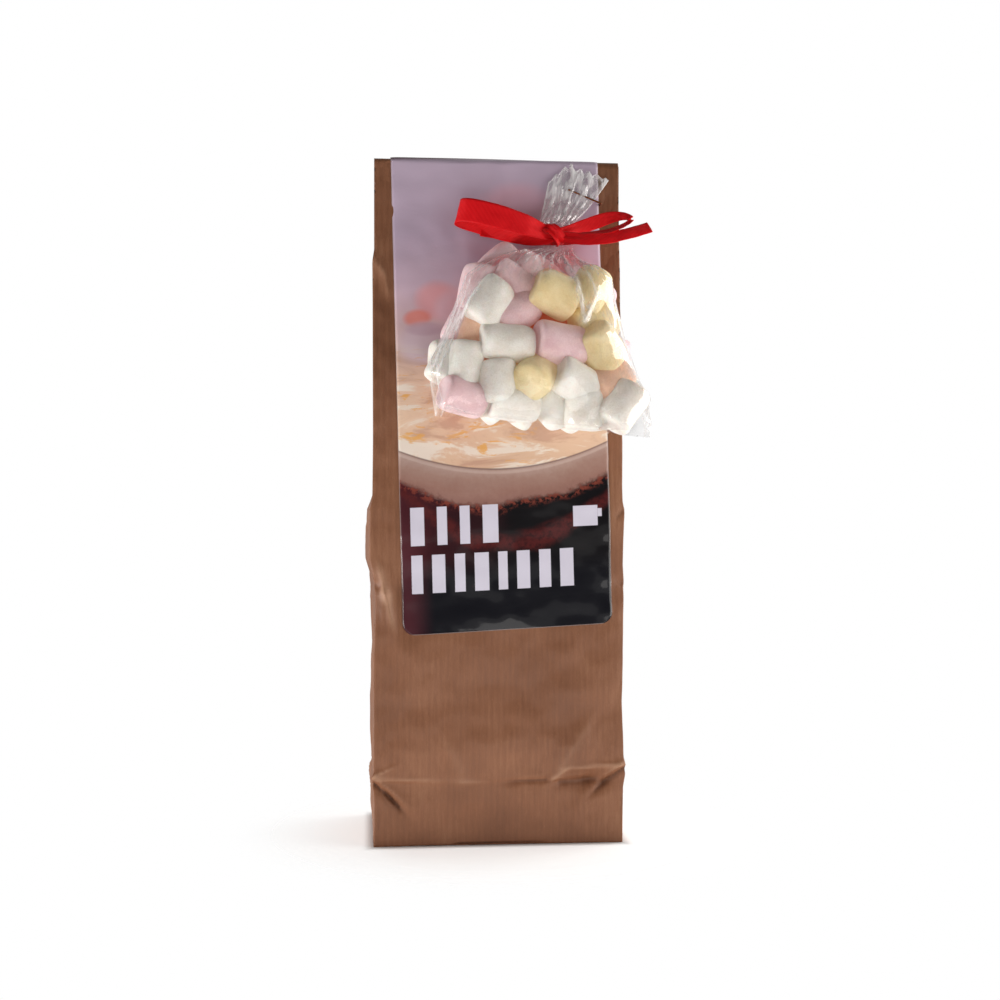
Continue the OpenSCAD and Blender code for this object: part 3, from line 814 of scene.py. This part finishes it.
def settledSweets():
    laid = []
    for kind, x, z, depth, tilt, turn, length, thick in sweetPlaces:
        face = labelFace(z)
        y = mix(face - film["depth"] + thick / 2 + 0.5, face - thick / 2 - 0.5, depth)
        spin = Matrix.Rotation(math.radians(turn), 3, "Z") @ Matrix.Rotation(math.radians(-tilt), 3, "Y")
        home = Vector((x, y, z))
        laid.append(dict(
            kind=kind, at=home.copy(), home=home, spin=spin, axis=spin @ Vector((1, 0, 0)),
            length=length, thick=thick, free=0.08 if depth < 0.95 else 0.4))
    for _ in range(sweets["rounds"]):  # neighbours that overlap in the view are set one behind the other
        for i, one in enumerate(laid):
            for other in laid[i + 1:]:
                if (one["at"] - other["at"]).length > sweets["far"]:
                    continue
                for p, q in ((-1, -1), (-1, 1), (1, -1), (1, 1)):
                    gap = endOf(one, p) - endOf(other, q)
                    reach = (one["thick"] + other["thick"]) / 2 * sweets["squash"]
                    over = reach - gap.length
                    if over > 0:
                        behind = 1 if one["home"].y > other["home"].y else -1
                        deep = math.sqrt(max(0, reach ** 2 - gap.x ** 2 - gap.z ** 2)) - gap.y * behind
                        push = gap.normalized() * over * sweets["slide"]
                        push.y = sweets["shove"] * deep * behind
                        for item, way in ((one, 1), (other, -1)):
                            hold = item["free"]
                            item["at"] += Vector((push.x * hold, push.y, push.z * hold)) * way
        for one in laid:
            at, home, half = one["at"], one["home"], one["thick"] / 2 + 0.4
            face = labelFace(at.z)
            at.y = clamp(mix(at.y, home.y, 0.02), face - film["depth"] + half, face - half)
            pull = 0.3 if one["free"] < 0.1 else 0.1
            at.x = mix(at.x, home.x, pull)
            at.z = mix(at.z, home.z, pull)
            wide = half * sweets["fit"] + abs(one["axis"].x) * (one["length"] - one["thick"]) / 2
            tall = half * sweets["fit"] + abs(one["axis"].z) * (one["length"] - one["thick"]) / 2
            level = at.z - seamDrop(at.x)
            at.x = clamp(at.x, between(level, filmLeft) + wide, between(level, filmRight) - wide)
            at.z = max(at.z, film["bottom"] + seamDrop(at.x) + tall * 0.96)
    return laid


def addSweet(bm, sweet, seed):
    start = len(bm.verts)
    made = bmesh.ops.create_cube(bm, size=2)
    edges = {edge for vert in made["verts"] for edge in vert.link_edges}
    bmesh.ops.subdivide_edges(bm, edges=list(edges), cuts=6, use_grid_fill=True)
    bm.verts.ensure_lookup_table()
    verts = bm.verts[start:]
    draw = random.Random(seed)
    oval, taper, bend = draw.uniform(0.93, 1.0), draw.uniform(-0.06, 0.06), draw.uniform(-0.06, 0.06)
    power = sweets["edge"] + draw.uniform(-1.5, 1.5)
    lean = draw.uniform(-0.1, 0.1)
    for vert in verts:
        x, y, z = vert.co
        py, pz = y * math.sqrt(1 - z * z / 2), z * math.sqrt(1 - y * y / 2)
        reach = math.hypot(py, pz)
        shrink = (reach ** power + abs(x) ** power) ** (-1 / power)
        x, py, pz = x * shrink, py * shrink, pz * shrink * oval
        size = 1 + taper * x + 0.03 * (1 - x * x)
        wobble = 1 + 0.05 * noise.noise(Vector((x, py, pz)) * 1.3 + Vector((seed * 7.3, 0, 0)))
        end = -0.06 * max(0, 1 - reach * 1.4) * (1 if x > 0 else -1) * (abs(x) > 0.8)
        spot = Vector((
            (x + end + lean * pz) * sweet["length"] / 2,
            py * size * sweet["thick"] / 2,
            (pz * size + bend * (1 - x * x)) * sweet["thick"] / 2))
        vert.co = sweet["at"] + sweet["spin"] @ (spot * wobble)


def makeSweetSkin(name, dark, light, glow):
    paint = Paint(name)
    place = paint.place()
    powder = paint.grain(place, 2200, 4.0, 0.75)
    cloud = paint.grain(place, 210, 2.0)
    pores = paint.grain(place, 900, 2.0, 0.6)
    colour = paint.ramp(cloud * 0.8 + (powder - 0.5) * 0.8 + 0.1, [
        (0.25, linear(*dark)), (0.7, linear(*light))])
    relief = powder * 1.3 + pores * 0.9 + cloud * 1.2
    # the emission is a painted glow standing in for light scattered through the sweets
    return paint.finish(
        Base_Color=colour, Roughness=0.85, Subsurface_Weight=0.25, Subsurface_Radius=(1.0, 0.45, 0.3),
        Subsurface_Scale=0.004, Sheen_Weight=0.2, Sheen_Roughness=0.5,
        Normal=paint.bump(relief, 0.45, 0.0005), Emission_Color=linear(*glow), Emission_Strength=0.07)


def makeSweets():
    laid = settledSweets()
    solid = bmesh.new()
    for kind, tints in sweetTints.items():
        bm = bmesh.new()
        for k, sweet in enumerate(laid):
            if sweet["kind"] == kind:
                addSweet(bm, sweet, sweets["seed"] + k)
                addSweet(solid, sweet, sweets["seed"] + k)
        bmesh.ops.recalc_face_normals(bm, faces=bm.faces)
        skin = makeSweetSkin("sweet" + kind.title(), *tints)
        piece = makePiece(bm, "marshmallows_" + kind, skin)
        smooth = piece.modifiers.new("smooth", "SUBSURF")
        smooth.levels = smooth.render_levels = 1
    tree = BVHTree.FromBMesh(solid)
    solid.free()
    print("marshmallows made", len(laid))
    return tree


# the film: a front and a back sheet drawn tight over the marshmallows, then gathered into a neck and a tail

def makeFilm(tree):
    cols, rows = film["columns"], film["bodyRows"]
    xs = np.zeros((rows + 1, cols + 1))
    zs = np.zeros((rows + 1, cols + 1))
    face = np.zeros((rows + 1, cols + 1))
    for j in range(rows + 1):
        level = mix(film["bottom"], neck["z"], j / rows)
        for i in range(cols + 1):
            u = mix(i / cols, (1 - math.cos(math.pi * i / cols)) / 2, 0.55)
            x = mix(between(level, filmLeft), between(level, filmRight), u)
            xs[j, i] = x
            zs[j, i] = level + seamDrop(x) * (1 - ease(j / rows / 0.8))
            face[j, i] = labelFace(zs[j, i]) + 0.3
    front = np.full(xs.shape, 1e3)
    back = np.full(xs.shape, -1e3)
    for j in range(1, rows):
        for i in range(1, cols):
            hit = tree.ray_cast(Vector((xs[j, i], -120, zs[j, i])), Vector((0, 1, 0)))
            if hit[0]:
                front[j, i] = hit[0].y - film["gap"]
            hit = tree.ray_cast(Vector((xs[j, i], 60, zs[j, i])), Vector((0, -1, 0)))
            if hit[0]:
                back[j, i] = min(hit[0].y + film["gap"], face[j, i])
    middle = np.zeros(xs.shape)
    for j in range(rows + 1):
        top = ease((j / rows - 0.7) / 0.3)
        low = face[j].min()
        middle[j, :] = mix(low - mix(5.0, 11.0, math.sin(math.pi * clamp(j / rows))), neckY(), top)
    ring = np.sqrt(np.clip(1 - (2 * np.arange(cols + 1) / cols - 1) ** 2, 0, 1)) * neck["thick"]
    sheets = []
    for side, limit, pick in ((-1, front, np.minimum), (1, back, np.maximum)):
        sheet = middle.copy()
        sheet[rows, :] += side * ring
        touched = np.abs(limit[1:-1, 1:-1]) < 900
        chess = np.indices(touched.shape).sum(axis=0) % 2
        for step in range(film["rounds"]):
            inside = sheet[1:-1, 1:-1]
            level = (sheet[:-2, 1:-1] + sheet[2:, 1:-1] + sheet[1:-1, :-2] + sheet[1:-1, 2:]) / 4
            level = inside + (level - inside) * film["pull"]
            level = np.where(touched, pick(level, limit[1:-1, 1:-1]), level)
            if side > 0:
                level = np.minimum(level, face[1:-1, 1:-1])
            sheet[1:-1, 1:-1] = np.where(chess == step % 2, level, inside)
        sheets.append(sheet)
    total = rows + film["neckRows"] + film["tailRows"]
    bm = bmesh.new()
    grid(bm, 2 * cols, total)
    paintedHighlightLayer = bm.verts.layers.float.new("crease")
    for vert in bm.verts:
        i, j = gridSpot(vert, 2 * cols, total)
        vert.co, vert[paintedHighlightLayer] = filmSpot(i, j, xs, zs, sheets)
    bmesh.ops.remove_doubles(bm, verts=bm.verts, dist=0.002)
    bmesh.ops.recalc_face_normals(bm, faces=bm.faces)
    makePiece(bm, "clearFilm", makeFilmSkin(), "marshmallow_bag")


# each point of the film comes with its painted highlight: white on the pleats, the folds, the glare patches,
# the outline and the tail's edges
def filmSpot(i, j, xs, zs, sheets):
    cols, rows = film["columns"], film["bodyRows"]
    isFront = i <= cols
    col = i if isFront else 2 * cols - i
    fold = math.sin(math.pi * clamp(col / cols)) ** 0.6
    phase = 2 * math.pi * film["pleats"] * col / cols + (0 if isFront else 1.3)
    phase += 1.2 * rough(col * 0.35, 3 + isFront, 0, 9)
    pleat = math.asin(math.sin(phase)) / 1.57 * fold
    if j <= rows:
        t = j / rows
        x, z = xs[j, col], zs[j, col]
        y = sheets[0 if isFront else 1][j, col]
        gather = ease((t - 0.66) / 0.34) ** 1.6
        y += pleat * 0.8 * gather
        shine = gather * clamp(abs(pleat) * 2 - 1) * 0.8
        if isFront:
            y -= creased(x, z, filmFolds)
            shine += clamp(creased(x, z, filmFolds) * 1.2) + creased(x, z, paintedGlare)
        edge = min(x - xs[j, 0], xs[j, cols] - x)
        shine += 1.3 * math.exp(-edge / 0.5) + 0.6 * bell(edge - 1.9, 0.35)
        y += rough(x, z, 60 if isFront else 80, 14) * 0.35 * fold
        return Vector((x, y, z)), shine
    share = 2 * col / cols - 1
    side = -1 if isFront else 1
    ring = math.sqrt(max(0, 1 - share * share))
    if j <= rows + film["neckRows"]:
        t = (j - rows) / film["neckRows"]
        z = neck["z"] + t * neck["ribbon"]
        y = neckY() + side * neck["thick"] * ring + pleat * 0.55
        x = mix(between(neck["z"], filmLeft), between(neck["z"], filmRight), (share + 1) / 2)
        return Vector((mix(x, neck["x"] + share * neck["half"], ease(t * 1.4)), y, z)), clamp(pleat) * 0.5
    t = (j - rows - film["neckRows"]) / film["tailRows"]
    low = neck["z"] + neck["ribbon"]
    top = between(share, tailTop) + 0.7 * math.asin(math.sin(phase * 0.9 + 2)) * fold
    z = mix(low, min(top, bag["height"] - 1.2), t)
    left = mix(neck["x"] - neck["half"], tailLeft, t ** 0.8)
    right = mix(neck["x"] + neck["half"], tailRight, t ** 0.8)
    x = mix(left, right, (share + 1) / 2) + 0.8 * rough(col * 0.2, z, 4, 7) * t * fold
    flat = mix(neckY(), frontAt(z) - label["lift"] - 1.3, ease(t / 0.4))
    thick = mix(neck["thick"], 0.35, ease(t / 0.5)) * ring * (1 - ease((t - 0.94) / 0.06))
    wild = pleat * 0.5 * (1 - ease(t * 2.5)) + 0.3 * fold * rough(x, z, 2, 7) * ease(t * 2)
    folds = creased(share * 10, t * 18, tailFolds[side])
    wild -= folds * fold * ease(t * 3)
    patch = ease(rough(share * 9, t * 6, 9 * side, 4) * 2.5)
    # painted highlight on the tail's folds and patches, along its top and sides, and a little all over
    shine = 0.9 * clamp(abs(folds)) ** 3 + 0.5 * patch ** 2 + 0.46
    shine += 0.6 * math.exp((t - 1) / 0.03) + 0.7 * math.exp((abs(share) - 1) / 0.04)
    return Vector((x, flat + side * thick + wild, z)), shine


def makeFilmSkin():
    paint = Paint("clearFilm")
    place = paint.place()
    soft = paint.drawn(place, (60, 60, 35), 2.0, 0.5, 0.8)
    fine = paint.drawn(place, (420, 420, 120), 2.0, 0.5, 1.2)
    normal = paint.bump(soft + fine * 0.06, 0.35, 0.0012)
    facing = paint.add("ShaderNodeLayerWeight", {}, {"Blend": 0.5}, "Facing")
    crease = paint.add("ShaderNodeAttribute", {"attribute_name": "crease"}, {}, "Fac")
    patchy = paint.drawn(place, (700, 700, 160), 3.0, 0.6, 1.0).step(0.3, 0.7)
    streak = paint.drawn(place, (360, 360, 50), 4.0, 0.65, 2.0).step(0.62, 0.78)
    # the painted highlight mixes in diffuse white film along the folds, the edges and the glare patches
    paintedHighlightShare = (crease * (0.35 + 0.65 * patchy)).least(1.0)
    factor = (facing ** 4.0 * 0.7 + 0.045 + paintedHighlightShare * 0.68 + streak * 0.05).least(0.9)
    paint.finish(
        Base_Color=(0.95, 0.94, 0.94, 1), Metallic=1 - (paintedHighlightShare * 1.7).least(1.0),
        Roughness=0.09, Normal=normal)
    clear = paint.add("ShaderNodeBsdfTransparent", {}, {"Color": (0.992, 0.988, 0.985, 1)})
    shine = Wire(paint, paint.shader.outputs[0])
    both = paint.add("ShaderNodeMixShader", {}, {0: factor, 1: clear, 2: shine})
    paint.plug(paint.tree.nodes["Material Output"].inputs["Surface"], both)
    return paint.material


# the ribbon: a flat strap led along a smooth line, its width turned as it goes

ribbon = dict(
    width=7.6, thickness=0.2, knotX=17.4, knotOut=2.6, knotUp=4.0, turnUp=4.3, turnSlack=0.9, turnShare=0.62,
    threadPitch=0.55, crossPitch=1.7,
)
knotAt = Vector((ribbon["knotX"], neckY() - neck["thick"] - ribbon["knotOut"], neck["z"] + ribbon["knotUp"]))
# each stop: x, y, z from the knot, share of the width, lean of the width (degrees, its top to the back)
straps = dict(
    leftLoop=(
        (0, 0, 0.2, 0.42, 10), (-3, -2.0, 0.6, 0.66, 16), (-8.5, -4.2, 1.9, 0.9, 12), (-16, -5.0, 4.0, 1, 8),
        (-23.5, -4.2, 6.0, 1, 4), (-28.6, -2.2, 7.1, 1, 0), (-30.8, 0.8, 7.2, 1, -2),
        (-29.4, 3.6, 6.2, 1, -6), (-23.5, 4.6, 4.6, 1, -12), (-15.5, 3.8, 2.0, 0.94, -18),
        (-8, 2.0, -0.2, 0.78, -20), (-3, 0.8, -1.0, 0.55, -20), (0, 0.2, -0.6, 0.4, -10)),
    rightLoop=(
        (0, 0, 0.2, 0.4, 0), (3, 1.4, 0.8, 0.5, -16), (8, 2.6, 2.4, 0.6, -24), (13.5, 3.0, 4.6, 0.6, -22),
        (18.5, 2.4, 6.2, 0.5, -12), (22.6, 0.8, 6.4, 0.36, 6), (24.8, -1.2, 5.2, 0.26, 36),
        (22.6, -2.4, 3.0, 0.3, 50), (17.5, -2.8, 1.0, 0.44, 56), (11, -2.6, -0.3, 0.54, 56),
        (5, -1.4, -0.8, 0.5, 48), (0, 0, -0.4, 0.4, 30)),
    rightTail=(
        (0, -0.4, -0.4, 0.4, 10), (3.5, -2.6, -1.2, 0.5, 16), (9, -4.4, -1.9, 0.56, 22),
        (16, -4.8, -1.7, 0.58, 26), (24, -4.2, 0.2, 0.56, 28), (30.6, -3.0, 2.4, 0.56, 30)),
    leftTail=(
        (2, 4.2, 0, 0.45, 0), (-4, 5.2, 0.2, 0.7, 4), (-10, 5.4, 1.2, 0.85, 6), (-17, 5.2, 2.6, 0.9, 4),
        (-23, 4.8, 3.4, 0.9, 0)),
    knot=(
        (-2.2, 4.0, 1.8, 0.4, 40), (-2.6, 0.8, 2.6, 0.45, 30), (-1.8, -2.2, 2.2, 0.5, 16),
        (0.2, -3.3, 0.4, 0.52, 0), (1.8, -2.8, -1.7, 0.5, -14), (2.5, -0.4, -2.6, 0.45, -30),
        (2.4, 3.8, -2.2, 0.4, -40)),
)


def alongSpline(stops, t):  # a smooth line through the stops
    count = len(stops) - 1
    k = min(int(t * count), count - 1)
    f = t * count - k
    p = [stops[clamp(k + d, 0, count)] for d in (-1, 0, 1, 2)]
    return [
        0.5 * (2 * b + (c - a) * f + (2 * a - 5 * b + 4 * c - d) * f * f + (3 * b - a - 3 * c + d) * f ** 3)
        for a, b, c, d in zip(*p)
    ]


def addStrap(bm, layout, stops, seed, rolled=False):
    alongCount, acrossCount = 12 * (len(stops) - 1), 10
    verts = grid(bm, alongCount, acrossCount)
    spots = {}
    travelled = [0.0]
    points = [alongSpline(stops, k / alongCount) for k in range(alongCount + 1)]
    for one, two in zip(points, points[1:]):
        travelled.append(travelled[-1] + math.dist(one[:3], two[:3]))
    for vert in verts:
        k = gridSpot(vert, alongCount, acrossCount)[0]
        w = vert.co.y * 2
        x, y, z, share, lean = points[k]
        ahead, behind = points[min(k + 1, alongCount)], points[max(k - 1, 0)]
        run = (Vector(ahead[:3]) - Vector(behind[:3])).normalized()
        lean = math.radians(lean)
        up = Vector((0.22 if x < -14 else 0, math.sin(lean), math.cos(lean)))
        if rolled:
            up = Vector((0.85, 0, 0.5))
        up = (up - run * up.dot(run)).normalized()
        out = run.cross(up)
        near = bell(math.hypot(x, z), 6.5)
        ripple = near * 0.4 * math.sin(w * 5.5 + seed) + 0.5 * (1 - share) * 1.1 * (1 - w * w)
        ripple += 0.25 * rough(travelled[k], w * 3, seed, 7)
        spot = knotAt + Vector((x, y, z)) + up * w * ribbon["width"] / 2 * share + out * ripple
        spots[vert] = (spot, (travelled[k], w * ribbon["width"] / 2))
    faces = {face for vert in spots for face in vert.link_faces}
    for face in faces:
        for loop in face.loops:
            loop[layout].uv = spots[loop.vert][1]
    for vert, (spot, _) in spots.items():
        vert.co = spot


def makeRibbonSkin():
    paint = Paint("ribbonSatin")
    place = paint.layout()
    along, across, _ = paint.axes(place)
    threads = (along + across).waves(ribbon["threadPitch"])
    cross = (along - across).waves(ribbon["crossPitch"])
    soft = paint.drawn(place, (0.16, 0.3, 1), 3.0)
    selvedge = abs(across).step(ribbon["width"] / 2 - 0.7, ribbon["width"] / 2 - 0.35)
    tone = 0.5 + threads * 0.16 + cross * 0.05 + (soft - 0.5) * 0.5
    colour = paint.ramp(tone, [
        (0.0, linear(190, 4, 12)), (0.5, linear(226, 14, 24)), (1.0, linear(240, 34, 38))])
    colour = paint.blend(selvedge * 0.35, colour, linear(200, 6, 14))
    relief = threads * 0.6 + cross * 0.3 + selvedge * 1.2
    return paint.finish(
        Base_Color=colour, Roughness=0.5, Specular_IOR_Level=0.15, Sheen_Weight=0.06, Sheen_Roughness=0.35,
        Sheen_Tint=(1, 0.45, 0.4, 1), Normal=paint.bump(relief, 0.5, 0.00008))


def makeRibbon():
    bm = bmesh.new()
    layout = bm.loops.layers.uv.new("layout")
    for k, (name, stops) in enumerate(straps.items()):
        addStrap(bm, layout, stops, k * 1.7, rolled=name == "knot")
    turns = []  # the turn round the neck
    centre = Vector((neck["x"], neckY(), neck["z"] + ribbon["turnUp"])) - knotAt
    wide, deep = neck["half"] + ribbon["turnSlack"], neck["thick"] + ribbon["turnSlack"]
    for k in range(13):
        a = 2 * math.pi * k / 12 + math.pi / 2
        spot = (centre.x + wide * math.cos(a), centre.y + deep * math.sin(a), centre.z)
        turns.append((*spot, ribbon["turnShare"], 0))
    addStrap(bm, layout, turns, 9.1)
    bmesh.ops.recalc_face_normals(bm, faces=bm.faces)
    addWall(bm, ribbon["thickness"])
    makePiece(bm, "ribbonBow", makeRibbonSkin(), "ribbon")


def makeStaple():
    paint = Paint("copperWire")
    scuff = paint.grain(paint.place(), 1800, 3.0, 0.6)
    colour = paint.ramp(scuff, [(0.3, linear(92, 50, 34)), (0.7, linear(150, 92, 62))])
    material = paint.finish(
        Base_Color=colour, Metallic=0.9, Roughness=0.28 + scuff * 0.25,
        Normal=paint.bump(scuff, 0.2, 0.00005))
    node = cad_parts["staple"]
    node.data.materials.clear()
    node.data.materials.append(material)
    print("staple painted")


makeStudio()
makeBag()
makeLabel()
sweetTree = makeSweets()
makeFilm(sweetTree)
makeRibbon()
makeStaple()
